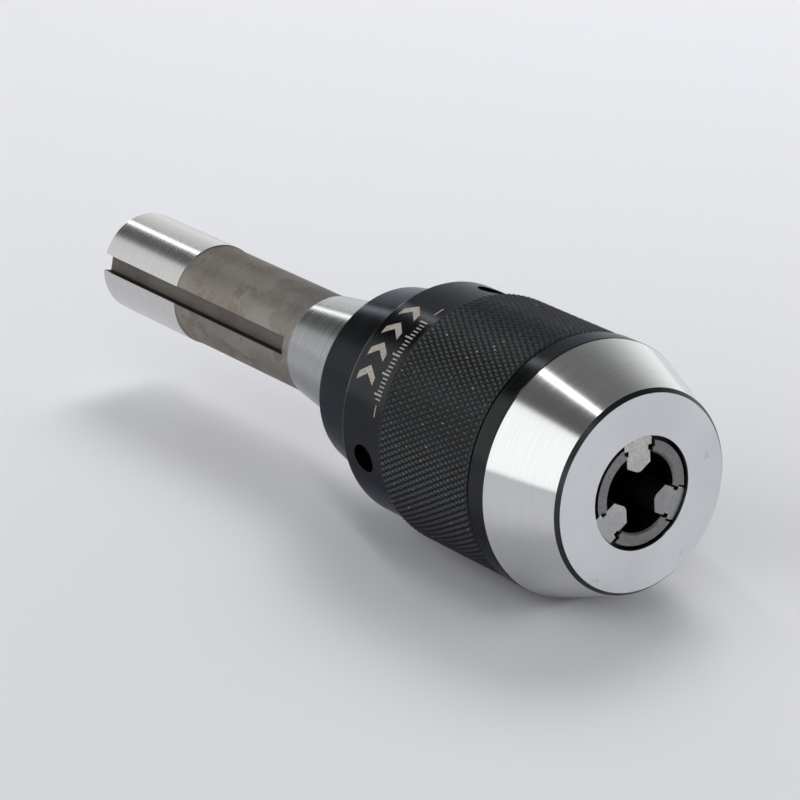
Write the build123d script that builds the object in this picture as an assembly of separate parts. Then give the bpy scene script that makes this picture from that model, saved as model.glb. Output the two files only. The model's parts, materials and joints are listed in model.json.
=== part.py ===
from build123d import *
import math
import os

# Keyless drill chuck with an integral R8 shank, in millimetres.
# The axis lies along Y: the nose faces -Y, the shank points to +Y, and +Z is up.
# The origin is on the axis at the big end of the R8 taper.
# A station is a distance from the origin towards the nose, so Y = -station.
# A bearing is an angle about the axis, from +X towards +Z, seen from the nose.

# R8 shank
shank_length = 101.6
land_radius = 12.058
land_length = 30.6
land_chamfer = 0.25
relief_radius = 11.8
taper_length = 24.5
taper_big_radius = 15.875
taper_half_angle = math.radians(8.425)
taper_small_radius = taper_big_radius - taper_length * math.tan(taper_half_angle)
relief_shoulder = 0.9

# Drawbar thread, at its major diameter of 7/16 inch
drawbar_radius = 5.556
drawbar_depth = 37.0
drawbar_chamfer = 0.9

# Keyway in the shank
key_width = 4.1
key_floor_radius = 9.7
key_front = -27.4
key_bearing = 169.0

# Body inside the hood
collar_seat_radius = 16.2
collar_stop = 13.0
journal_radius = 16.6
flange_rear = 28.8
flange_front = 34.0
flange_radius = 22.9
edge_break = 0.4

# Feed screw and its bore
screw_radius = 8.0
screw_fit = 0.05
screw_bore_end = -3.0
screw_end = 8.0
screw_undercut = 1.0
screw_undercut_length = 2.4
drill_point = 2.5

# Rear collar
collar_rear_radius = 21.0
collar_front = 16.2
collar_front_radius = 24.0
collar_edge = 0.25

# Seal in the body's groove
seal_station = 18.7
seal_section_radius = 0.88
seal_mean_radius = 16.0
seal_groove_width = 2.2
seal_groove_radius = 15.1

# Thrust bearing
ball_count = 20
ball_radius = 2.0
ball_station = 25.0
ball_circle_radius = 19.4
race_groove_radius = 2.06
race_inner_face = 1.7
race_outer_radius = 21.9
cage_inner_radius = 16.95
cage_half_width = 0.8
cage_pocket_radius = 2.08

# Spanner ring, which closes the hood's rear end and carries the moving race
spanner_ring_rear = 16.5
spanner_ring_front = 30.4
spanner_ring_radius = 26.8
spanner_ring_edge = 0.5
lip_front = 21.2
lip_bore = 16.9
bearing_bore = 22.95
ring_thread_front = 35.3
ring_thread_radius = 24.9
thread_gap = 0.05

# Hook-spanner holes in the spanner ring
spanner_hole_radius = 3.25
spanner_hole_station = 23.8
spanner_hole_floor = 24.2
spanner_hole_point = 0.85
spanner_bearings = [72.0, 192.0, 312.0]

# Knurled sleeve
sleeve_rear = 30.4
knurl_rear = 31.6
knurl_front = 62.6
knurl_mean_radius = 28.1
groove_front = 63.5
groove_radius = 27.4
band_radius = 28.5
band_edge = 0.2
sleeve_front = 68.4
rib_rear = 35.4
rib_front = 36.8
rib_radius = 20.5
sleeve_mid_bore = 23.2
spigot_bore = 24.4

# Thrust washer
washer_thickness = 1.1
washer_inner_radius = 20.7
washer_outer_radius = 22.6

# Nose
nose_shoulder = 68.5
nose_cone_rear_radius = 28.4
nose_cone_front = 84.5
nose_cone_front_radius = 22.5
nose_face = 85.4
nose_face_radius = 21.65
nose_bore_radius = 12.1
inner_half_angle = math.radians(20.0)

# Jaw guide
guide_front = 85.15
guide_rim_radius = 11.5
guide_rim_length = 1.8
guide_flange_rear = 58.0
guide_flange_front = 60.6
guide_bore_radius = 8.8
guide_back_face = 64.3
guide_shell_radius = 16.9
guide_gap = 0.02
slot_clearance = 0.1
slot_mouth_clearance = 0.45
slot_mouth_depth = 1.5

# Jaws, at rest 9.3 mm apart
jaw_bearings = [94.0, 214.0, 334.0]
jaw_front = 84.7
jaw_tip_radius = 4.65
jaw_apex_radius = 4.35
jaw_half_width = 3.05
jaw_neck_half_width = 2.6
jaw_head_half_width = 3.6
jaw_neck_inner = 8.7
jaw_head_inner = 9.95
jaw_back_gap = 0.06
jaw_trim_radius = 19.0
jaw_hook_inner = 10.0
jaw_hook_half_width = 2.0
jaw_root_face = 52.1
jaw_rear = 46.5
jaw_foot_front = 49.1
v_half_angle = math.radians(60.0)

# T-slotted head of the drive screw
head_rear = 43.8
head_front = 52.0
head_radius = 16.5
head_slot_floor = 46.4
head_lip_rear = 49.2
head_slot_start = 5.2
head_centre_radius = 2.0

beyond = 4.0


def inner_cone(station):
    """Radius of the nose's inner cone."""
    return nose_bore_radius + (nose_face - station) * math.tan(inner_half_angle)


def turned(outline):
    """Solid of revolution about the chuck's axis, from (station, radius) points."""
    corners = [(radius, -station) for station, radius in outline]
    return revolve(make_face(Polyline(*corners, close=True).edges()), Axis.Y, 360)


def ring(rear, front, inner, outer):
    return turned([(rear, inner), (rear, outer), (front, outer), (front, inner)])


def torus(station, mean_radius, section_radius):
    section = Pos(mean_radius, -station) * Circle(section_radius)
    return revolve(section, Axis.Y, 360)


def at_bearing(shape, bearing):
    """Turns a shape made with its outward direction along +Z to a bearing."""
    return shape.rotate(Axis.Y, 90.0 - bearing)


def block(half_width, rear, front, inner, outer):
    """Box across the axis: +-half_width in X, a span of stations, a span of radii along +Z."""
    centre = Pos(0, -(rear + front) / 2, (inner + outer) / 2)
    return centre * Box(2 * half_width, front - rear, outer - inner)


def make_shank_body():
    land_front = land_length - shank_length
    seal_rear = seal_station - seal_groove_width / 2
    seal_front = seal_station + seal_groove_width / 2
    drawbar_end = drawbar_depth - shank_length
    screw_bore = screw_radius + screw_fit
    body = turned([
        (-shank_length, drawbar_radius + drawbar_chamfer),
        (-shank_length, land_radius - land_chamfer),
        (land_chamfer - shank_length, land_radius),
        (land_front, land_radius),
        (land_front + land_radius - relief_radius, relief_radius),
        (-taper_length - relief_shoulder, relief_radius),
        (-taper_length, taper_small_radius),
        (0, taper_big_radius),
        (0, collar_seat_radius),
        (collar_stop, collar_seat_radius),
        (collar_stop, journal_radius),
        (seal_rear, journal_radius),
        (seal_rear, seal_groove_radius),
        (seal_front, seal_groove_radius),
        (seal_front, journal_radius),
        (flange_rear, journal_radius),
        (flange_rear, flange_radius - edge_break),
        (flange_rear + edge_break, flange_radius),
        (flange_front - edge_break, flange_radius),
        (flange_front, flange_radius - edge_break),
        (flange_front, screw_bore + edge_break),
        (flange_front - edge_break, screw_bore),
        (screw_bore_end, screw_bore),
        (screw_bore_end - drill_point, 0),
        (drawbar_end + drill_point, 0),
        (drawbar_end, drawbar_radius),
        (drawbar_chamfer - shank_length, drawbar_radius),
    ])
    keyway = block(key_width / 2, -shank_length - beyond, key_front, key_floor_radius, land_radius + beyond)
    return body - at_bearing(keyway, key_bearing)


def make_rear_collar():
    slope = (collar_front_radius - collar_rear_radius) / collar_front
    return turned([
        (0, collar_seat_radius),
        (0, collar_rear_radius - collar_edge),
        (collar_edge, collar_rear_radius + collar_edge * slope),
        (collar_front - collar_edge, collar_front_radius - collar_edge * slope),
        (collar_front, collar_front_radius - collar_edge),
        (collar_front, journal_radius),
        (collar_stop, journal_radius),
        (collar_stop, collar_seat_radius),
    ])


def make_seal_ring():
    return torus(seal_station, seal_mean_radius, seal_section_radius)


def make_fixed_race():
    rear = ball_station + race_inner_face
    blank = ring(rear, flange_rear, journal_radius, race_outer_radius)
    return blank - torus(ball_station, ball_circle_radius, race_groove_radius)


def make_moving_race():
    front = ball_station - race_inner_face
    blank = ring(lip_front, front, lip_bore, bearing_bore)
    return blank - torus(ball_station, ball_circle_radius, race_groove_radius)


def ball_bearing_angle(index):
    return 360.0 * index / ball_count


def make_ball(index):
    ball = Pos(0, -ball_station, ball_circle_radius) * Sphere(ball_radius)
    return at_bearing(ball, ball_bearing_angle(index))


def make_ball_cage():
    cage = ring(
        ball_station - cage_half_width, ball_station + cage_half_width, cage_inner_radius, race_outer_radius
    )
    pocket = Pos(0, -ball_station, ball_circle_radius) * Rot(90, 0, 0) * Cylinder(cage_pocket_radius, beyond)
    for index in range(ball_count):
        cage -= at_bearing(pocket, ball_bearing_angle(index))
    return cage


def make_spanner_hole():
    """Drilled hole pointing along +Z, with its shallow drill point below the floor."""
    height = spanner_ring_radius + beyond - spanner_hole_floor
    wall = Pos(0, 0, spanner_hole_floor + height / 2) * Cylinder(spanner_hole_radius, height)
    middle = spanner_hole_floor - spanner_hole_point / 2
    point = Pos(0, 0, middle) * Cone(0, spanner_hole_radius, spanner_hole_point)
    return Pos(0, -spanner_hole_station, 0) * (wall + point)


def make_spanner_ring():
    body = turned([
        (spanner_ring_rear, lip_bore),
        (spanner_ring_rear, spanner_ring_radius - spanner_ring_edge),
        (spanner_ring_rear + spanner_ring_edge, spanner_ring_radius),
        (spanner_ring_front - band_edge, spanner_ring_radius),
        (spanner_ring_front, spanner_ring_radius - band_edge),
        (spanner_ring_front, ring_thread_radius),
        (ring_thread_front, ring_thread_radius),
        (ring_thread_front, bearing_bore),
        (lip_front, bearing_bore),
        (lip_front, lip_bore),
    ])
    hole = make_spanner_hole()
    for bearing in spanner_bearings:
        body -= at_bearing(hole, bearing)
    return body


def make_knurled_sleeve():
    thread_bore = ring_thread_radius + thread_gap
    return turned([
        (sleeve_rear, thread_bore),
        (sleeve_rear, spanner_ring_radius),
        (knurl_rear, knurl_mean_radius),
        (knurl_front, knurl_mean_radius),
        (knurl_front, groove_radius),
        (groove_front, groove_radius),
        (groove_front, band_radius - band_edge),
        (groove_front + band_edge, band_radius),
        (sleeve_front - band_edge, band_radius),
        (sleeve_front, band_radius - band_edge),
        (sleeve_front, spigot_bore),
        (guide_flange_rear, spigot_bore),
        (guide_flange_rear, sleeve_mid_bore),
        (rib_front, sleeve_mid_bore),
        (rib_front, rib_radius),
        (rib_rear, rib_radius),
        (rib_rear, thread_bore),
    ])


def make_thrust_washer():
    rear = rib_rear - washer_thickness
    return ring(rear, rib_rear, washer_inner_radius, washer_outer_radius)


def make_nose_hood():
    spigot = spigot_bore - thread_gap
    return turned([
        (guide_flange_front, inner_cone(guide_flange_front)),
        (guide_flange_front, spigot),
        (nose_shoulder, spigot),
        (nose_shoulder, nose_cone_rear_radius),
        (nose_cone_front, nose_cone_front_radius),
        (nose_face, nose_face_radius),
        (nose_face, nose_bore_radius + edge_break),
        (nose_face - edge_break, inner_cone(nose_face - edge_break)),
    ])


def oblique(profile, front):
    """Runs a profile, drawn across the axis at a station, back and outward along the inner cone."""
    back = (0, math.cos(inner_half_angle), math.sin(inner_half_angle))
    run = (front - jaw_rear + beyond) / math.cos(inner_half_angle)
    return extrude(Plane.XZ.offset(front) * profile, amount=run, dir=back)


def bar(half_width, inner, outer):
    return Pos(0, (inner + outer) / 2) * Rectangle(2 * half_width, outer - inner)


def make_guide_slot(rear, clearance):
    """The T-shaped way that one jaw slides in, out to the nose's inner cone, forward of a station."""
    head_inner = jaw_head_inner - clearance
    front = guide_front + beyond
    drop = (front - jaw_front) * math.tan(inner_half_angle)
    wide = bar(jaw_head_half_width + clearance, head_inner - drop, nose_bore_radius + beyond)
    narrow = bar(jaw_half_width + clearance, -2 * nose_bore_radius, head_inner)
    half = nose_bore_radius + beyond
    cone = turned([
        (rear, 0),
        (rear, inner_cone(rear)),
        (front, inner_cone(front)),
        (front, 0),
    ])
    above = block(half, rear, front, 0, 2 * half)
    return oblique(wide + narrow, front) & cone & above


def make_jaw_guide():
    rim_rear = guide_front - guide_rim_length
    guide = turned([
        (guide_flange_rear, guide_shell_radius),
        (guide_flange_rear, spigot_bore - thread_gap),
        (guide_flange_front, spigot_bore - thread_gap),
        (guide_flange_front, inner_cone(guide_flange_front) - guide_gap),
        (rim_rear, inner_cone(rim_rear) - guide_gap),
        (rim_rear, guide_rim_radius),
        (guide_front, guide_rim_radius),
        (guide_front, guide_bore_radius + edge_break),
        (guide_front - edge_break, guide_bore_radius),
        (guide_back_face, guide_bore_radius),
        (guide_back_face, guide_shell_radius),
    ])
    way = make_guide_slot(guide_flange_rear - beyond, slot_clearance)
    mouth = make_guide_slot(guide_front - slot_mouth_depth, slot_mouth_clearance)
    for bearing in jaw_bearings:
        guide -= at_bearing(way + mouth, bearing)
    return guide


def make_jaw_blank():
    """Jaw pointing along +Z: T-headed bar, cut to its side outline and its V tip."""
    back = Circle(inner_cone(jaw_front) - jaw_back_gap)
    head = back & bar(jaw_head_half_width, jaw_head_inner, nose_bore_radius + beyond)
    neck = bar(jaw_neck_half_width, jaw_neck_inner, jaw_head_inner)
    blade = bar(jaw_half_width, -2 * nose_bore_radius, jaw_neck_inner)
    section = head + neck + blade
    heel = jaw_root_face + (jaw_hook_inner - jaw_tip_radius) / math.tan(inner_half_angle)
    side = Polyline(
        (-jaw_front, jaw_tip_radius),
        (-heel, jaw_tip_radius),
        (-jaw_root_face, jaw_hook_inner),
        (-jaw_rear, jaw_hook_inner),
        (-jaw_rear, jaw_trim_radius),
        (-jaw_front, jaw_trim_radius),
        close=True,
    )
    outline = extrude(Plane.YZ * make_face(side.edges()), amount=2 * jaw_head_half_width, both=True)
    reach = jaw_trim_radius + beyond
    spread = (reach - jaw_apex_radius) * math.tan(v_half_angle)
    wedge = Polyline((0, jaw_apex_radius), (spread, reach), (-spread, reach), close=True)
    tip = extrude(Plane.XZ.offset(jaw_rear - beyond) * make_face(wedge.edges()), amount=jaw_front)
    return oblique(section, jaw_front) & outline & tip


def make_jaw():
    jaw = make_jaw_blank()
    reach = 2 * jaw_trim_radius
    for side in (-1, 1):
        neck_gap = block(beyond, jaw_foot_front, jaw_root_face, 0, reach)
        foot_gap = block(beyond, jaw_rear - beyond, jaw_foot_front, 0, reach)
        jaw -= Pos(side * (jaw_hook_half_width + beyond), 0, 0) * neck_gap
        jaw -= Pos(side * (jaw_half_width + beyond), 0, 0) * foot_gap
    return jaw


def make_drive_screw():
    screw = turned([
        (screw_end, 0),
        (screw_end, screw_radius - screw_undercut),
        (screw_end + screw_undercut, screw_radius),
        (head_rear - screw_undercut_length, screw_radius),
        (head_rear - screw_undercut_length, screw_radius - screw_undercut),
        (head_rear, screw_radius - screw_undercut),
        (head_rear, head_radius - edge_break),
        (head_rear + edge_break, head_radius),
        (head_front - edge_break, head_radius),
        (head_front, head_radius - edge_break),
        (head_front, head_centre_radius),
        (head_front - head_centre_radius, 0),
    ])
    reach = head_radius + beyond
    foot_half_width = jaw_half_width + slot_clearance
    hook_half_width = jaw_hook_half_width + slot_clearance
    wide = block(foot_half_width, head_slot_floor, head_lip_rear, head_slot_start, reach)
    narrow = block(hook_half_width, head_lip_rear, head_front + beyond, head_slot_start, reach)
    for bearing in jaw_bearings:
        screw -= at_bearing(wide + narrow, bearing)
    return screw


def write(name, shape):
    shape.label = name
    export_step(shape, f"parts/{name}.step")


os.makedirs("parts", exist_ok=True)
write("shank_body", make_shank_body())
write("rear_collar", make_rear_collar())
write("seal_ring", make_seal_ring())
write("fixed_race", make_fixed_race())
write("moving_race", make_moving_race())
write("ball_cage", make_ball_cage())
for index in range(ball_count):
    write(f"bearing_ball_{index + 1:02d}", make_ball(index))
write("spanner_ring", make_spanner_ring())
write("knurled_sleeve", make_knurled_sleeve())
write("thrust_washer", make_thrust_washer())
write("nose_hood", make_nose_hood())
write("jaw_guide", make_jaw_guide())
write("drive_screw", make_drive_screw())
jaw = make_jaw()
for index, bearing in enumerate(jaw_bearings):
    write(f"jaw_{index + 1}", at_bearing(jaw, bearing))
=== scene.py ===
import json
import math

import bmesh
import bpy
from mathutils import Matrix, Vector


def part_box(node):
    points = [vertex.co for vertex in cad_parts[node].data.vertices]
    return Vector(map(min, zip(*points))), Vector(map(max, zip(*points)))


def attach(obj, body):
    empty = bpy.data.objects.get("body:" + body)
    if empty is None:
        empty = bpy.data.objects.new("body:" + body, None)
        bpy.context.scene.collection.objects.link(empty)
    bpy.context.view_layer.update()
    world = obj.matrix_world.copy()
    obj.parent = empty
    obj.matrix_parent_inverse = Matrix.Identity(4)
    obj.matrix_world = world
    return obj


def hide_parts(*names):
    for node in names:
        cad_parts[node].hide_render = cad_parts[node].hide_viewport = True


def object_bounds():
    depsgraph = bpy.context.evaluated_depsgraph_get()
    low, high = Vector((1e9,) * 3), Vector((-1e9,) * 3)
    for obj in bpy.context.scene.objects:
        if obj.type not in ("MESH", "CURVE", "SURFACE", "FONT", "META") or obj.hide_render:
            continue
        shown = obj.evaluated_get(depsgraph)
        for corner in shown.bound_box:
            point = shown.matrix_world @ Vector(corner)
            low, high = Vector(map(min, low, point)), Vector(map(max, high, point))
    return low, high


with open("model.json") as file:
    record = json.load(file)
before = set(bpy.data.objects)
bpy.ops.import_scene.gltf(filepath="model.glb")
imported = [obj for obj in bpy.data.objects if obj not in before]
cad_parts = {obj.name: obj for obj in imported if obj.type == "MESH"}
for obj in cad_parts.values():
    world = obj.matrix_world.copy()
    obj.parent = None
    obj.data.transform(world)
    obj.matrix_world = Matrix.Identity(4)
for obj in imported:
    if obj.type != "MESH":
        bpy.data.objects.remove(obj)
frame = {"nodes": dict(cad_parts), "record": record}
cad_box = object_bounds()

# Metres throughout. The chuck's axis is Y: the nose faces -Y and the shank points to +Y.
# A station is a distance from the origin towards the nose, in millimetres, so y = -station * MM.
# A bearing is an angle about the axis, from +X towards +Z, seen from the nose.
MM = 0.001


# Dimensions in millimetres: the ends and radii of the CAD nodes, then the edges between them

def rear_of(node):
    """Station of a CAD node's rear end."""
    return -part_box(node)[1].y / MM


def front_of(node):
    """Station of a CAD node's front end."""
    return -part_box(node)[0].y / MM


def radius_of(node):
    """Outer radius of a round CAD node."""
    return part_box(node)[1].x / MM


def mount_radius(name):
    """Radius of one of the record's round mounts, in millimetres."""
    return next(mount["dims"]["r_mm"] for mount in frame["record"]["mounts"] if mount["name"] == name)


# The land is ground from the shank's rear end to LAND_FRONT, on what lies outside LAND_SKIN's radius.
SHANK_REAR = rear_of("shank_body")
LAND_FRONT = SHANK_REAR + 30.6
LAND_SKIN = 11.86
TAPER_REAR = -24.6
TAPER_FRONT = 0.5

# The keyway's floor and top are distances from the axis, measured along its bearing.
KEYWAY_BEARING = math.radians(169.0)
KEYWAY_HALF_WIDTH = 2.05
KEYWAY_FLOOR = 9.7
KEYWAY_TOP = 11.66
KEYWAY_FRONT = -27.4

RING_REAR = rear_of("spanner_ring")
RING_RADIUS = radius_of("spanner_ring")
RING_CHAMFER = 0.5

SLEEVE_REAR = rear_of("knurled_sleeve")
SLEEVE_FRONT = front_of("knurled_sleeve")
KNURL_REAR = 31.6
KNURL_FRONT = 62.6
GROOVE_FRONT = 63.5
GROOVE_RADIUS = 27.4
BAND_RADIUS = radius_of("knurled_sleeve")
BAND_EDGE = 0.2

NOSE_FACE = front_of("nose_hood")
CONE_FRONT = NOSE_FACE - 0.9
BORE_EDGE = 18.0
GUIDE_FRONT = front_of("jaw_guide")
JAW_FRONT = front_of("jaw_1")


# Camera

CAMERA_AZIMUTH = math.radians(-36.45)
CAMERA_ELEVATION = math.radians(20.51)
CAMERA_DISTANCE = 891.72 * MM
CAMERA_RIGHT = 0.89 * MM
CAMERA_DOWN = 4.84 * MM
CAMERA_LENS = 180.8


def make_camera():
    azimuth, elevation = CAMERA_AZIMUTH, CAMERA_ELEVATION
    right = Vector((math.cos(azimuth), math.sin(azimuth), 0))
    back = Vector((
        math.sin(azimuth) * math.cos(elevation),
        -math.cos(azimuth) * math.cos(elevation),
        math.sin(elevation),
    ))
    up = back.cross(right)
    data = bpy.data.cameras.new("camera")
    data.lens = CAMERA_LENS
    data.sensor_width = 36.0
    data.clip_start = 0.01
    data.clip_end = 50.0
    camera = bpy.data.objects.new("camera", data)
    bpy.context.scene.collection.objects.link(camera)
    camera.location = CAMERA_DISTANCE * back + CAMERA_RIGHT * right - CAMERA_DOWN * up
    camera.rotation_euler = back.to_track_quat("Z", "Y").to_euler()
    bpy.context.scene.camera = camera


# Node helpers

class Nodes:
    """Short calls for building a shader tree. A value is a number, a tuple or another node's output."""

    def __init__(self, tree):
        self.tree = tree
        tree.nodes.clear()

    def new(self, kind, **settings):
        node = self.tree.nodes.new(kind)
        for name, value in settings.items():
            setattr(node, name, value)
        return node

    def set(self, socket, value):
        if isinstance(value, bpy.types.NodeSocket):
            self.tree.links.new(value, socket)
        else:
            socket.default_value = value

    def math(self, operation, *values, clamp=False):
        node = self.new("ShaderNodeMath", operation=operation, use_clamp=clamp)
        for socket, value in zip(node.inputs, values):
            self.set(socket, value)
        return node.outputs[0]

    def add(self, a, b, clamp=False):
        return self.math("ADD", a, b, clamp=clamp)

    def times(self, a, b):
        return self.math("MULTIPLY", a, b)

    def average(self, a, b, share=0.5):
        """A blend of two values, with the first one's share."""
        return self.add(self.times(a, share), self.times(b, 1.0 - share))

    def dot(self, vector, direction):
        node = self.new("ShaderNodeVectorMath", operation="DOT_PRODUCT")
        self.set(node.inputs[0], vector)
        self.set(node.inputs[1], direction)
        return node.outputs["Value"]

    def ramp(self, value, low, high, start=0.0, end=1.0):
        """A smooth step from start to end as value goes from low to high."""
        node = self.new("ShaderNodeMapRange", interpolation_type="SMOOTHSTEP")
        self.set(node.inputs["Value"], value)
        self.set(node.inputs["From Min"], low)
        self.set(node.inputs["From Max"], high)
        self.set(node.inputs["To Min"], start)
        self.set(node.inputs["To Max"], end)
        return node.outputs["Result"]

    def between(self, value, low, high, edge):
        """1 inside a span and 0 outside it."""
        rise = self.ramp(value, low - edge, low + edge)
        fall = self.ramp(value, high - edge, high + edge, 1.0, 0.0)
        return self.times(rise, fall)

    def place(self):
        return self.new("ShaderNodeTexCoord").outputs["Object"]

    def split(self, vector):
        node = self.new("ShaderNodeSeparateXYZ")
        self.set(node.inputs[0], vector)
        return node.outputs[0], node.outputs[1], node.outputs[2]

    def station_and_radius(self):
        """Station and distance from the chuck's axis, both in millimetres."""
        x, y, z = self.split(self.place())
        across = self.math("SQRT", self.add(self.times(x, x), self.times(z, z)))
        return self.times(y, -1.0 / MM), self.times(across, 1.0 / MM)

    def distance_along(self, direction):
        """Distance from the origin along a direction, in millimetres."""
        return self.times(self.dot(self.place(), direction), 1.0 / MM)

    def noise(self, vector, scale=1.0, detail=2.0, roughness=0.5):
        node = self.new("ShaderNodeTexNoise")
        self.set(node.inputs["Vector"], vector)
        self.set(node.inputs["Scale"], scale)
        self.set(node.inputs["Detail"], detail)
        self.set(node.inputs["Roughness"], roughness)
        return node.outputs["Fac"]

    def speckle(self, scale, detail=3.0, roughness=0.5):
        return self.noise(self.place(), scale, detail, roughness)

    def turning_lines(self, fine, long):
        """Noise drawn out round the axis: fine from station to station, and long round the chuck."""
        node = self.new("ShaderNodeVectorMath", operation="MULTIPLY")
        self.set(node.inputs[0], self.place())
        self.set(node.inputs[1], (long, fine, long))
        return self.noise(node.outputs[0], detail=3.0, roughness=0.6)

    def mix(self, factor, a, b):
        node = self.new("ShaderNodeMix", data_type="RGBA")
        self.set(node.inputs[0], factor)
        self.set(node.inputs[6], a)
        self.set(node.inputs[7], b)
        return node.outputs[2]

    def bump(self, height, distance, strength=0.5, normal=None):
        node = self.new("ShaderNodeBump")
        self.set(node.inputs["Height"], height)
        self.set(node.inputs["Distance"], distance)
        self.set(node.inputs["Strength"], strength)
        if normal is not None:
            self.set(node.inputs["Normal"], normal)
        return node.outputs["Normal"]

    def finish(self, normal=None, **values):
        """Adds the surface shader and its output. Each value goes to the socket of that name."""
        shader = self.new("ShaderNodeBsdfPrincipled")
        for name, value in values.items():
            self.set(shader.inputs[name.replace("_", " ")], value)
        if normal is not None:
            self.set(shader.inputs["Normal"], normal)
        output = self.new("ShaderNodeOutputMaterial")
        self.set(output.inputs["Surface"], shader.outputs[0])

    def finish_turned(self, normal, streak, **values):
        """Metal whose fine lines run round the chuck's axis, so that highlights spread along it."""
        around = self.new("ShaderNodeTangent", direction_type="RADIAL", axis="Y").outputs[0]
        turned = {"Metallic": 1.0, "Anisotropic": streak, "Anisotropic_Rotation": 0.25, "Tangent": around}
        self.finish(normal, **turned, **values)


def new_material(name):
    material = bpy.data.materials.new(name)
    material.use_nodes = True
    return material, Nodes(material.node_tree)


def grey(level, warm=0.0):
    """A neutral colour, warmer above zero and cooler below it."""
    return (level * (1 + warm), level, level * (1 - warm), 1.0)


# Materials

BLACK_LEVEL = 0.036
BLACK_EDGE = (0.60, 0.61, 0.65, 1.0)


def shank_zones(n):
    """Masks for the shank's ground land and its ground taper."""
    station, radius = n.station_and_radius()
    skin = n.ramp(radius, LAND_SKIN, LAND_SKIN + 0.04)
    land = n.times(n.ramp(station, LAND_FRONT - 0.1, LAND_FRONT + 0.1, 1.0, 0.0), skin)
    taper = n.between(station, TAPER_REAR, TAPER_FRONT, 0.05)
    return land, taper


def keyway_zones(n):
    """Masks for the keyway's floor and for its lower wall, which gets painted shade."""
    station, _ = n.station_and_radius()
    beside = n.distance_along((-math.sin(KEYWAY_BEARING), 0, math.cos(KEYWAY_BEARING)))
    outward = n.distance_along((math.cos(KEYWAY_BEARING), 0, math.sin(KEYWAY_BEARING)))
    across = n.between(beside, -KEYWAY_HALF_WIDTH - 0.05, KEYWAY_HALF_WIDTH + 0.05, 0.05)
    floor = n.times(across, n.between(outward, KEYWAY_FLOOR - 0.7, KEYWAY_FLOOR + 0.05, 0.02))
    deep = n.between(outward, KEYWAY_FLOOR - 0.7, KEYWAY_TOP, 0.04)
    # The lower wall's mask, where the painted shade goes.
    wall = n.times(n.between(beside, KEYWAY_HALF_WIDTH - 0.1, KEYWAY_HALF_WIDTH + 0.15, 0.05), deep)
    wall = n.times(wall, n.ramp(station, KEYWAY_FRONT - 0.1, KEYWAY_FRONT + 0.1, 1.0, 0.0))
    return floor, wall


def relief_colour(n, clouds, grain):
    """Unground shank: dull brown-grey with sharp-edged stains and paler specks, darker on the keyway's floor,
    with painted shade on the keyway's lower wall.
    """
    blots = n.speckle(130.0, 8.0, 0.78)
    patches = n.speckle(45.0, 8.0, 0.72)
    dull = n.mix(n.ramp(clouds, 0.35, 0.65), grey(0.245, 0.10), grey(0.295, 0.08))
    stained = n.mix(n.ramp(blots, 0.53, 0.58), dull, grey(0.21, 0.17))
    patched = n.mix(n.ramp(patches, 0.54, 0.56, 0.0, 0.6), stained, grey(0.215, 0.06))
    speckled = n.mix(n.ramp(grain, 0.60, 0.78), patched, grey(0.42, 0.06))
    floor, wall = keyway_zones(n)
    # A darker grey on the keyway's floor.
    darker_inside = n.mix(n.ramp(clouds, 0.35, 0.65), grey(0.125, 0.10), grey(0.155, 0.10))
    # Painted shade: the keyway's lower wall is painted near black, grey(0.07).
    return n.mix(wall, n.mix(floor, speckled, darker_inside), grey(0.07, 0.06))


def shank_steel(name):
    """One piece with two finishes: ground bright land and taper, and a rough relief between them."""
    material, n = new_material(name)
    lines = n.turning_lines(5200.0, 60.0)
    clouds = n.speckle(85.0, 4.0)
    grain = n.speckle(1700.0, 3.0, 0.7)
    land, taper = shank_zones(n)
    ground = n.add(land, taper, clamp=True)

    streaks = n.ramp(lines, 0.3, 0.7)
    silver = n.mix(streaks, grey(0.55, 0.01), grey(0.60, 0.01))
    taper_grey = n.mix(streaks, grey(0.33, -0.01), grey(0.41, -0.01))
    colour = n.mix(ground, relief_colour(n, clouds, grain), n.mix(taper, silver, taper_grey))

    ground_rough = n.times(ground, n.ramp(lines, 0.3, 0.7, 0.22, 0.28))
    dull_rough = n.times(n.math("SUBTRACT", 1.0, ground), n.ramp(grain, 0.3, 0.7, 0.56, 0.70))
    pitted = n.bump(grain, 0.02 * MM, n.math("SUBTRACT", 0.7, n.times(ground, 0.7)))
    normal = n.bump(lines, 0.0012 * MM, 0.5, pitted)
    n.finish_turned(normal, 0.5, Base_Color=colour, Roughness=n.add(ground_rough, dull_rough))
    return material


def black_oxide(name, wear_and_highlight_edges):
    """Satin black oxide on turned steel, a little blue, with lighter edge lines that are wear and painted
    highlights. Each edge line is (rear, front, least radius).
    """
    material, n = new_material(name)
    station, radius = n.station_and_radius()
    lines = n.turning_lines(3600.0, 60.0)
    clouds = n.speckle(60.0, 4.0)
    dust = n.speckle(2600.0, 2.0, 0.7)
    base = n.mix(n.ramp(clouds, 0.3, 0.7), grey(BLACK_LEVEL * 0.85, -0.05), grey(BLACK_LEVEL * 1.15, -0.04))
    colour = n.mix(n.ramp(dust, 0.72, 0.82), base, grey(BLACK_LEVEL * 2.2, 0.02))
    # Edge lines are painted lighter: wear of the oxide, and painted highlights that stand in for the edges'
    # reflections.
    edge_wear_and_highlight = n.ramp(clouds, 0.3, 0.6, 0.5, 1.0)
    for rear, front, least_radius in wear_and_highlight_edges:
        outside = n.ramp(radius, least_radius - 0.1, least_radius)
        edge = n.times(n.between(station, rear, front, 0.06), outside)
        colour = n.mix(n.times(edge, edge_wear_and_highlight), colour, grey(0.22, -0.02))
    rough = n.ramp(n.average(lines, clouds, 0.6), 0.35, 0.65, 0.17, 0.29)
    normal = n.bump(lines, 0.003 * MM)
    n.finish_turned(normal, 0.4, Base_Color=colour, Roughness=rough, Specular_Tint=BLACK_EDGE)
    return material


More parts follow.
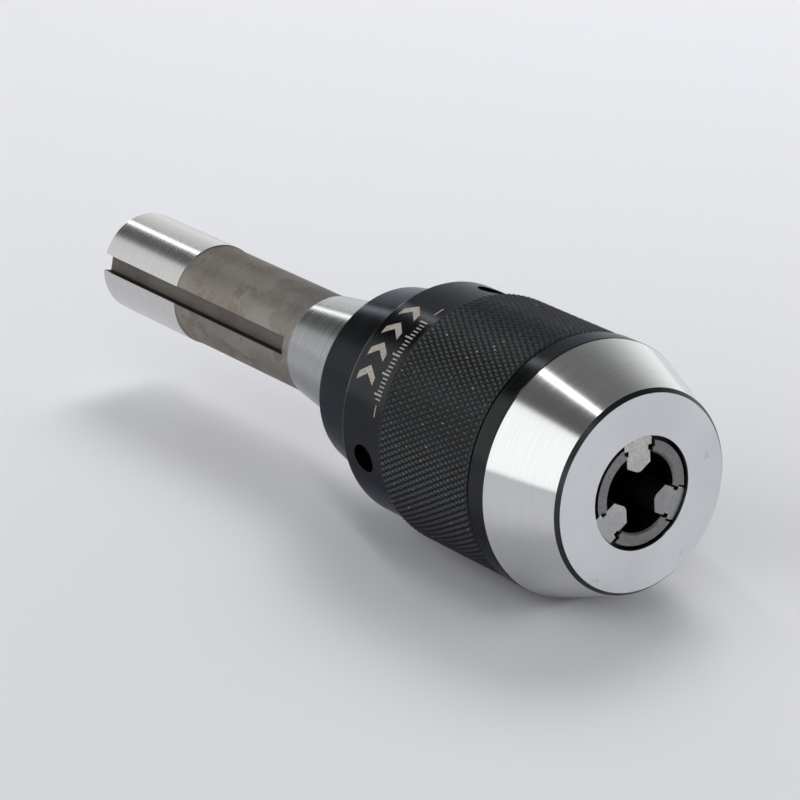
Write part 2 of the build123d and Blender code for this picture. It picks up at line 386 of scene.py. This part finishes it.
def knurled_oxide(name):
    """Black oxide, lighter on the knurl's crests and darker towards its grooves, with light specks on the
    crests that are wear and painted glints.
    """
    material, n = new_material(name)
    _, radius = n.station_and_radius()
    chip_and_glint_noise = n.speckle(700.0, 3.0, 0.7)
    clouds = n.speckle(70.0)
    root = KNURL_CREST - KNURL_DEPTH
    crest = n.ramp(radius, root + 0.10 * KNURL_DEPTH, root + 0.85 * KNURL_DEPTH)
    # Darker towards the grooves' roots and lighter towards the crests.
    base = n.mix(crest, grey(0.030, -0.03), grey(0.072, -0.01))
    # Light specks on the crests: wear of the oxide, and painted glints.
    wear_and_glints = n.times(crest, n.ramp(chip_and_glint_noise, 0.64, 0.70))
    colour = n.mix(wear_and_glints, base, grey(0.34))
    rough = n.ramp(clouds, 0.3, 0.7, 0.38, 0.46)
    n.finish(None, Base_Color=colour, Metallic=1.0, Roughness=rough, Specular_Tint=BLACK_EDGE)
    return material


def nose_zones(n):
    """Masks for the nose's flat face, its black chamfer and its bore, which gets painted shade."""
    station, radius = n.station_and_radius()
    face = n.ramp(station, NOSE_FACE - 0.03, NOSE_FACE - 0.01)
    outside = n.ramp(radius, BORE_EDGE, BORE_EDGE + 1.0)
    chamfer = n.times(n.between(station, CONE_FRONT, NOSE_FACE - 0.02, 0.01), outside)
    within = n.ramp(radius, BORE_EDGE - 0.1, BORE_EDGE, 1.0, 0.0)
    bore = n.times(within, n.ramp(station, NOSE_FACE - 0.08, NOSE_FACE - 0.02, 1.0, 0.0))
    return face, chamfer, bore


def nose_steel(name):
    """Bright turned cone and satin face, with a black chamfer between them and painted shade in the bore."""
    material, n = new_material(name)
    lines = n.turning_lines(4200.0, 50.0)
    clouds = n.speckle(55.0)
    spots = n.speckle(330.0, 3.0, 0.6)
    face, chamfer, bore = nose_zones(n)
    dark = n.add(chamfer, bore, clamp=True)

    silver = n.mix(n.ramp(lines, 0.3, 0.7), grey(0.66), grey(0.71))
    satin = n.mix(n.ramp(clouds, 0.35, 0.75), grey(0.76, -0.02), grey(0.68, -0.02))
    spotted = n.mix(n.ramp(spots, 0.66, 0.76), satin, grey(0.56, -0.01))
    # Painted shade: near black in the bore, grey(0.026). The chamfer is black, grey(0.05).
    chamfer_black_and_bore_shade = n.mix(bore, grey(0.05, -0.06), grey(0.026, -0.06))
    colour = n.mix(dark, n.mix(face, silver, spotted), chamfer_black_and_bore_shade)

    rough = n.add(n.ramp(lines, 0.3, 0.7, 0.15, 0.19), n.times(n.add(dark, face), 0.15))
    n.finish_turned(n.bump(lines, 0.0012 * MM), 0.75, Base_Color=colour, Roughness=rough)
    return material


def grained_grey(n, grain, clouds, level, warm, speck):
    """Cloudy grey with the darker specks of a fine grain, whose level is given as a share of the grey's."""
    base = n.mix(clouds, grey(level * 0.88, warm), grey(level * 1.1, warm))
    return n.mix(n.ramp(grain, 0.35, 0.55), grey(level * speck, warm), base)


def steel_with_painted_bore_shade(name, front, level, behind, warm=0.0, speck=0.72, grain_scale=1500.0, unshaded_depth=0.05, rough=0.34):
    """Steel with a fine grain, at its own tone down to a depth behind its front station, and darkened beyond
    it by painted shade for the bore that it lies in.
    """
    material, n = new_material(name)
    station, _ = n.station_and_radius()
    grain = n.speckle(grain_scale, 4.0, 0.7)
    clouds = n.ramp(n.speckle(220.0), 0.3, 0.7)
    face = grained_grey(n, grain, clouds, level, warm, speck)
    # Painted shade: a dark grey where the part lies back in the bore, beyond its front.
    darker_inside = n.mix(clouds, grey(0.75 * behind), grey(1.25 * behind))
    colour = n.mix(n.ramp(station, front - unshaded_depth - 0.2, front - unshaded_depth), darker_inside, face)
    roughness = n.ramp(grain, 0.3, 0.7, rough, rough + 0.14)
    n.finish(n.bump(grain, 0.008 * MM), Base_Color=colour, Metallic=1.0, Roughness=roughness)
    return material


def cut_thread_steel(name):
    material, n = new_material(name)
    grain = n.speckle(1500.0, 4.0, 0.7)
    clouds = n.ramp(n.speckle(220.0), 0.3, 0.7)
    colour = grained_grey(n, grain, clouds, 0.30, 0.04, 0.5)
    rough = n.ramp(grain, 0.3, 0.7, 0.28, 0.42)
    n.finish(n.bump(grain, 0.008 * MM), Base_Color=colour, Metallic=1.0, Roughness=rough)
    return material


def turned_steel(name):
    """Turned, oiled steel with fine lines round its axis and faint clouds."""
    material, n = new_material(name)
    lines = n.turning_lines(5200.0, 260.0)
    tone = n.average(lines, n.speckle(90.0))
    colour = n.mix(n.ramp(tone, 0.35, 0.65), grey(0.3612, 0.01), grey(0.4536, 0.01))
    rough = n.ramp(lines, 0.3, 0.7, 0.29, 0.40)
    n.finish_turned(n.bump(lines, 0.003 * MM), 0.5, Base_Color=colour, Roughness=rough)
    return material


def turned_brass(name, low, high, roughness):
    material, n = new_material(name)
    lines = n.turning_lines(3000.0, 300.0)
    colour = n.mix(n.ramp(n.speckle(150.0), 0.3, 0.7), low, high)
    rough = n.ramp(lines, 0.3, 0.7, roughness - 0.06, roughness + 0.08)
    n.finish_turned(n.bump(lines, 0.004 * MM), 0.4, Base_Color=colour, Roughness=rough)
    return material


def polished_steel(name):
    material, n = new_material(name)
    clouds = n.speckle(400.0)
    colour = n.mix(n.ramp(clouds, 0.3, 0.7), grey(0.68), grey(0.76))
    rough = n.ramp(clouds, 0.3, 0.7, 0.08, 0.14)
    n.finish(None, Base_Color=colour, Metallic=1.0, Roughness=rough)
    return material


def nitrile_rubber(name):
    material, n = new_material(name)
    grain = n.speckle(2200.0)
    colour = n.mix(grain, grey(0.018), grey(0.032))
    rough = n.ramp(grain, 0.3, 0.7, 0.5, 0.65)
    n.finish(n.bump(grain, 0.01 * MM, 0.4), Base_Color=colour, Roughness=rough)
    return material


def pale_marking(name):
    """Pale laser marking: a little warm and broken up by a fine grain."""
    material, n = new_material(name)
    grain = n.speckle(2400.0, 3.0, 0.7)
    colour = n.mix(n.ramp(grain, 0.3, 0.6), (0.24, 0.21, 0.185, 1), (0.46, 0.42, 0.37, 1))
    rough = n.ramp(grain, 0.3, 0.7, 0.5, 0.62)
    n.finish(n.bump(grain, 0.004 * MM, 0.4), Base_Color=colour, Metallic=0.3, Roughness=rough)
    return material


def floor_paint(name):
    material, n = new_material(name)
    colour = n.mix(n.speckle(3.0, 2.0), (0.80, 0.80, 0.84, 1), (0.82, 0.82, 0.86, 1))
    n.finish(None, Base_Color=colour, Roughness=0.9, Specular_IOR_Level=0.1)
    return material


# Studio

STRIP_ACROSS = (0.906, -0.277, 0.177)
STRIP_HALF_WIDTH = 0.06
STRIP_LEVEL = 4.5
ROOM_LEVEL = 0.12
STUDIO_TINT = (0.985, 1.0, 1.0, 1.0)

SOFTBOX_PLACE = (0.75, 0.55, 1.15)
SOFTBOX_SIZE = 0.7
SOFTBOX_POWER = 9.0

FLOOR_SIZE = 12.0
FLOOR_GAP = 0.2 * MM


def strip_light(n, side, z):
    """One long strip overhead, brightest along its middle."""
    across = n.ramp(n.math("ABSOLUTE", side), 0.0, STRIP_HALF_WIDTH, 1.0, 0.0)
    return n.times(across, n.ramp(z, 0.12, 0.3))


def left_wall(n, side, y):
    """Bright wall on one side of the strip, which dims towards +Y."""
    return n.times(n.ramp(side, -0.46, -0.40, 1.0, 0.0), n.ramp(y, 0.45, 0.95, 1.25, 0.62))


def right_wall(n, side, y, z):
    """Wall on the strip's other side, which darkens upwards, sooner towards -Y."""
    upwards = n.ramp(n.add(z, n.times(y, -0.35)), -0.15, 0.85, 1.0, 0.06)
    return n.times(upwards, n.ramp(side, STRIP_HALF_WIDTH, 2 * STRIP_HALF_WIDTH))


def horizon(n, y, z):
    """Pale band low down all round, a little dimmer towards +Y."""
    return n.times(n.ramp(z, 0.10, 0.35, 1.0, 0.0), n.ramp(y, 0.7, 0.98, 1.0, 0.7))


def make_studio():
    """Pale walls and a low horizon under a dark ceiling, which one long strip light crosses."""
    world = bpy.data.worlds.new("studio")
    world.use_nodes = True
    bpy.context.scene.world = world
    n = Nodes(world.node_tree)
    look = n.new("ShaderNodeTexCoord").outputs["Generated"]
    _, y, z = n.split(look)
    side = n.dot(look, STRIP_ACROSS)
    walls = n.math("MAXIMUM", left_wall(n, side, y), right_wall(n, side, y, z))
    room = n.add(n.math("MAXIMUM", walls, horizon(n, y, z)), ROOM_LEVEL)

    background = n.new("ShaderNodeBackground")
    background.inputs["Color"].default_value = STUDIO_TINT
    n.set(background.inputs["Strength"], n.add(room, n.times(strip_light(n, side, z), STRIP_LEVEL)))
    output = n.new("ShaderNodeOutputWorld")
    n.set(output.inputs["Surface"], background.outputs[0])


def make_key_softbox():
    """Square softbox above and behind the chuck, for its shadow. It isn't mirrored in the metal."""
    data = bpy.data.lights.new("key_softbox", "AREA")
    data.shape = "RECTANGLE"
    data.size = SOFTBOX_SIZE
    data.size_y = SOFTBOX_SIZE
    data.energy = SOFTBOX_POWER
    light = bpy.data.objects.new("key_softbox", data)
    bpy.context.scene.collection.objects.link(light)
    light.location = SOFTBOX_PLACE
    light.rotation_euler = Vector(SOFTBOX_PLACE).to_track_quat("Z", "Y").to_euler()
    light.visible_glossy = False


def make_floor():
    bm = bmesh.new()
    bmesh.ops.create_grid(bm, x_segments=8, y_segments=8, size=FLOOR_SIZE / 2)
    mesh = bpy.data.meshes.new("floor")
    bm.to_mesh(mesh)
    bm.free()
    floor = bpy.data.objects.new("floor", mesh)
    bpy.context.scene.collection.objects.link(floor)
    floor.location = (0, 0, cad_box[0][2] - FLOOR_GAP)
    mesh.materials.append(floor_paint("floor_paint"))


# Mesh helpers

def on_cylinder(station, radius, bearing):
    """A point at a station and a radius in millimetres, and a bearing in radians."""
    return (radius * MM * math.cos(bearing), -station * MM, radius * MM * math.sin(bearing))


def add_piece(mesh, material, body):
    """Links a mesh as a piece of the mesh's name, with its finish, body and material slot."""
    mesh.materials.append(material)
    piece = bpy.data.objects.new(mesh.name, mesh)
    bpy.context.scene.collection.objects.link(piece)
    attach(piece, body)
    return piece


def smooth_mesh(name, verts, faces, sharp_angle):
    """A mesh that is shaded smooth, apart from edges sharper than an angle in degrees."""
    mesh = bpy.data.meshes.new(name)
    mesh.from_pydata(verts, [], faces)
    mesh.validate()
    mesh.shade_smooth()
    mesh.set_sharp_from_angle(angle=math.radians(sharp_angle))
    return mesh


def revolved(rows, columns):
    """Vertices and faces of a closed ring. A row is a (station, radius) pair or a function of the bearing."""
    verts = []
    for row in rows:
        for column in range(columns):
            bearing = 2 * math.pi * column / columns
            station, radius = row(bearing) if callable(row) else row
            verts.append(on_cylinder(station, radius, bearing))
    faces = []
    for row in range(len(rows)):
        near = row * columns
        far = (row + 1) % len(rows) * columns
        for column in range(columns):
            after = (column + 1) % columns
            faces.append((near + column, far + column, far + after, near + after))
    return verts, faces


# Knurled sleeve

KNURL_COUNT = 125
KNURL_ROW = 2.46
KNURL_STEPS = 7
KNURL_DEPTH = 0.34
KNURL_FLAT = 0.22
KNURL_CREST = 28.25
KNURL_CHAMFER = 0.45

THREAD_BORE = 24.95
RIB_REAR = front_of("thrust_washer")
RIB_FRONT = RIB_REAR + 1.4
RIB_RADIUS = 20.5
MID_BORE = 23.2
SPIGOT_REAR = rear_of("jaw_guide")
SPIGOT_BORE = 24.4


def groove_wave(phase):
    """Height across one groove pitch: 0 in the groove and 1 on the crest's flat."""
    away = abs(phase - round(phase)) * 2
    return min(1.0, away / (1.0 - KNURL_FLAT))


def knurl_row(station):
    """The knurl's station and radius at a station, as a function of the bearing."""
    along = (station - KNURL_REAR) / KNURL_ROW
    to_end = min(station - KNURL_REAR, KNURL_FRONT - station)
    crest = KNURL_CREST - KNURL_DEPTH * (1.0 - min(1.0, to_end / KNURL_CHAMFER))

    def at(bearing):
        turn = bearing * KNURL_COUNT / (2 * math.pi)
        height = min(groove_wave(turn + along), groove_wave(turn - along))
        return station, min(crest, KNURL_CREST - KNURL_DEPTH * (1.0 - height))
    return at


def knurl_rows():
    step = KNURL_ROW / KNURL_STEPS
    count = int((KNURL_FRONT - KNURL_REAR) / step)
    return [knurl_row(KNURL_REAR + i * step) for i in range(count)] + [knurl_row(KNURL_FRONT)]


def make_knurled_sleeve():
    """The sleeve's whole section, from its rear end forward over the outside and back through the bore."""
    rear_end = [(SLEEVE_REAR, THREAD_BORE), (SLEEVE_REAR, RING_RADIUS)]
    band = [
        (KNURL_FRONT, GROOVE_RADIUS),
        (GROOVE_FRONT, GROOVE_RADIUS),
        (GROOVE_FRONT, BAND_RADIUS - BAND_EDGE),
        (GROOVE_FRONT + BAND_EDGE, BAND_RADIUS),
        (SLEEVE_FRONT - BAND_EDGE, BAND_RADIUS),
        (SLEEVE_FRONT, BAND_RADIUS - BAND_EDGE),
    ]
    bore = [
        (SLEEVE_FRONT, SPIGOT_BORE),
        (SPIGOT_REAR, SPIGOT_BORE),
        (SPIGOT_REAR, MID_BORE),
        (RIB_FRONT, MID_BORE),
        (RIB_FRONT, RIB_RADIUS),
        (RIB_REAR, RIB_RADIUS),
        (RIB_REAR, THREAD_BORE),
    ]
    verts, faces = revolved(rear_end + knurl_rows() + band + bore, KNURL_COUNT * KNURL_STEPS)
    mesh = smooth_mesh("knurled_sleeve_skin", verts, faces, 25.0)
    sleeve = add_piece(mesh, knurled_oxide("knurled_oxide"), "hood")
    mesh.materials.append(bpy.data.materials["satin_black"])
    for face in mesh.polygons:
        if not KNURL_REAR < -face.center.y / MM < KNURL_FRONT:
            face.material_index = 1
    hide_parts("knurled_sleeve")


# Markings: tightening chevrons, a tick row and two dashes, in place of lettering

MARK_HEIGHT = 0.02
MARK_STEPS = 6
CHEVRON_REAR = 19.0
CHEVRON_FRONT = 24.6
CHEVRON_BEARINGS = (156.0, 144.0, 132.0, 120.0)
CHEVRON_STROKE = 1.9
CHEVRON_LEAN = 2.1
TICK_BEARINGS = range(119, 163, 2)
TICK_FRONT = 28.6
TICK_REAR = 27.0
TICK_WIDTH = 0.3
LONG_TICK_EVERY = 5
LONG_TICK_REAR = 26.1
LONG_TICK_WIDTH = 0.42
DASH_BEARINGS = (169.0, 112.5)
DASH_REAR = 27.6
DASH_FRONT = 27.9
DASH_LENGTH = 2.6


def slab_points(bm, corners, radius):
    """A grid of vertices on the ring between four (station, arc) corners, both in millimetres."""
    a, b, c, d = corners
    grid = []
    for i in range(MARK_STEPS + 1):
        u = i / MARK_STEPS
        near = [a[k] * (1 - u) + b[k] * u for k in (0, 1)]
        far = [d[k] * (1 - u) + c[k] * u for k in (0, 1)]
        row = []
        for j in range(MARK_STEPS + 1):
            v = j / MARK_STEPS
            station, arc = (low * (1 - v) + high * v for low, high in zip(near, far))
            row.append(bm.verts.new(on_cylinder(station, radius, arc / RING_RADIUS)))
        grid.append(row)
    return grid


def add_slab(bm, corners):
    """A thin slab that stands a little proud of the ring, and a little into it."""
    top = slab_points(bm, corners, RING_RADIUS + MARK_HEIGHT)
    base = slab_points(bm, corners, RING_RADIUS - 3 * MARK_HEIGHT)
    last = MARK_STEPS
    for i in range(MARK_STEPS):
        for j in range(MARK_STEPS):
            bm.faces.new((top[i][j], top[i + 1][j], top[i + 1][j + 1], top[i][j + 1]))
            bm.faces.new((base[i][j], base[i][j + 1], base[i + 1][j + 1], base[i + 1][j]))
        bm.faces.new((top[i][0], base[i][0], base[i + 1][0], top[i + 1][0]))
        bm.faces.new((top[i][last], top[i + 1][last], base[i + 1][last], base[i][last]))
        bm.faces.new((top[0][i], top[0][i + 1], base[0][i + 1], base[0][i]))
        bm.faces.new((top[last][i], base[last][i], base[last][i + 1], top[last][i + 1]))


def add_bar(bm, rear, front, bearing, width):
    """A straight mark from a bearing down, between two stations."""
    arc = RING_RADIUS * math.radians(bearing)
    add_slab(bm, ((rear, arc), (front, arc), (front, arc - width), (rear, arc - width)))


def add_chevron(bm, bearing):
    """Two leaning strokes that meet at the point, towards lower bearings, which is the closing way."""
    arc = RING_RADIUS * math.radians(bearing)
    point = (CHEVRON_REAR + CHEVRON_FRONT) / 2
    for end in (CHEVRON_REAR, CHEVRON_FRONT):
        outer = ((end, arc), (point, arc - CHEVRON_LEAN))
        inner = ((point, arc - CHEVRON_LEAN - CHEVRON_STROKE), (end, arc - CHEVRON_STROKE))
        add_slab(bm, outer + inner)


def make_markings():
    bm = bmesh.new()
    for bearing in CHEVRON_BEARINGS:
        add_chevron(bm, bearing)
    for index, bearing in enumerate(TICK_BEARINGS):
        if index % LONG_TICK_EVERY == 0:
            add_bar(bm, LONG_TICK_REAR, TICK_FRONT, bearing, LONG_TICK_WIDTH)
        else:
            add_bar(bm, TICK_REAR, TICK_FRONT, bearing, TICK_WIDTH)
    for bearing in DASH_BEARINGS:
        add_bar(bm, DASH_REAR, DASH_FRONT, bearing, DASH_LENGTH)
    bmesh.ops.recalc_face_normals(bm, faces=bm.faces)
    mesh = bpy.data.meshes.new("ring_markings")
    bm.to_mesh(mesh)
    bm.free()
    add_piece(mesh, pale_marking("marking_finish"), "hood")


# Drawbar thread: one helical ridge on the wall of the hole in the shank's rear end

THREAD_PITCH = 1.27
THREAD_MAJOR = mount_radius("drawbar_thread")
THREAD_MINOR = 4.95
THREAD_REAR = SHANK_REAR + 1.2
THREAD_TURNS = 25
THREAD_COLUMNS = 64
THREAD_FADE = 0.4
THREAD_LEAST_FADE = 0.05
THREAD_HALF_WIDTH = 0.46 * THREAD_PITCH
THREAD_CREST_SHARE = 0.16
THREAD_SUNK = 0.02


def thread_section(turn):
    """Four points across the ridge after some turns. It fades into the wall at both ends."""
    fade = min(1.0, turn / THREAD_FADE, (THREAD_TURNS - turn) / THREAD_FADE)
    crest = THREAD_MAJOR - fade * (THREAD_MAJOR - THREAD_MINOR)
    root = THREAD_MAJOR + THREAD_SUNK
    half = THREAD_HALF_WIDTH * max(fade, THREAD_LEAST_FADE)
    flat = THREAD_CREST_SHARE * half
    station = THREAD_REAR + turn * THREAD_PITCH
    profile = ((-half, root), (-flat, crest), (flat, crest), (half, root))
    return [on_cylinder(station + offset, radius, -2 * math.pi * turn) for offset, radius in profile]


def make_drawbar_thread():
    count = THREAD_TURNS * THREAD_COLUMNS
    verts = []
    for index in range(count + 1):
        verts += thread_section(index / THREAD_COLUMNS)
    faces = [(0, 1, 2, 3), tuple(4 * count + side for side in (3, 2, 1, 0))]
    for index in range(count):
        for side in range(4):
            a, b = 4 * index + side, 4 * index + (side + 1) % 4
            faces.append((a, b, b + 4, a + 4))
    mesh = smooth_mesh("drawbar_thread", verts, faces, 40.0)
    add_piece(mesh, cut_thread_steel("thread_finish"), "shank")


# Carried-over CAD nodes

def dress(material, *names):
    for name in names:
        slots = frame["nodes"][name].data.materials
        slots.clear()
        slots.append(material)


def dress_outside():
    ring_edge = RING_REAR + RING_CHAMFER
    # Edge lines on the black oxide: wear, and painted highlights on the edges.
    wear_and_highlight_edges = (
        (ring_edge - 0.08, ring_edge + 0.12, RING_RADIUS - 0.15),
        (SLEEVE_REAR, SLEEVE_REAR + 0.12, RING_RADIUS - 0.1),
        (GROOVE_FRONT, GROOVE_FRONT + 0.2, BAND_RADIUS - 0.3),
    )
    dress(black_oxide("satin_black", wear_and_highlight_edges), "rear_collar", "spanner_ring", "knurled_sleeve")
    dress(shank_steel("shank_finish"), "shank_body")
    dress(nose_steel("nose_finish"), "nose_hood")
    # The guide and the jaws get painted shade where they lie back in the bore.
    guide = steel_with_painted_bore_shade(
        "guide_finish", GUIDE_FRONT, level=0.235, behind=0.03, warm=0.01,
        speck=0.68, grain_scale=2400.0, unshaded_depth=0.42, rough=0.36,
    )
    dress(guide, "jaw_guide")
    for number, level, warm in ((1, 0.58, 0.035), (2, 0.50, 0.0), (3, 0.36, 0.0)):
        jaw = steel_with_painted_bore_shade(f"jaw_finish_{number}", JAW_FRONT, level=level, behind=0.11, warm=warm)
        dress(jaw, f"jaw_{number}")


def dress_inside():
    balls = [name for name in frame["nodes"] if name.startswith("bearing_ball")]
    dress(turned_steel("turned_finish"), "drive_screw")
    dress(polished_steel("bearing_finish"), "fixed_race", "moving_race", *balls)
    dress(turned_brass("cage_finish", (0.62, 0.43, 0.16, 1), (0.72, 0.53, 0.22, 1), 0.3), "ball_cage")
    dress(turned_brass("washer_finish", (0.52, 0.33, 0.15, 1), (0.62, 0.42, 0.2, 1), 0.34), "thrust_washer")
    dress(nitrile_rubber("seal_finish"), "seal_ring")


make_camera()
make_studio()
make_key_softbox()
make_floor()
dress_outside()
dress_inside()
make_knurled_sleeve()
make_markings()
make_drawbar_thread()
bpy.context.scene.view_settings.view_transform = "Standard"
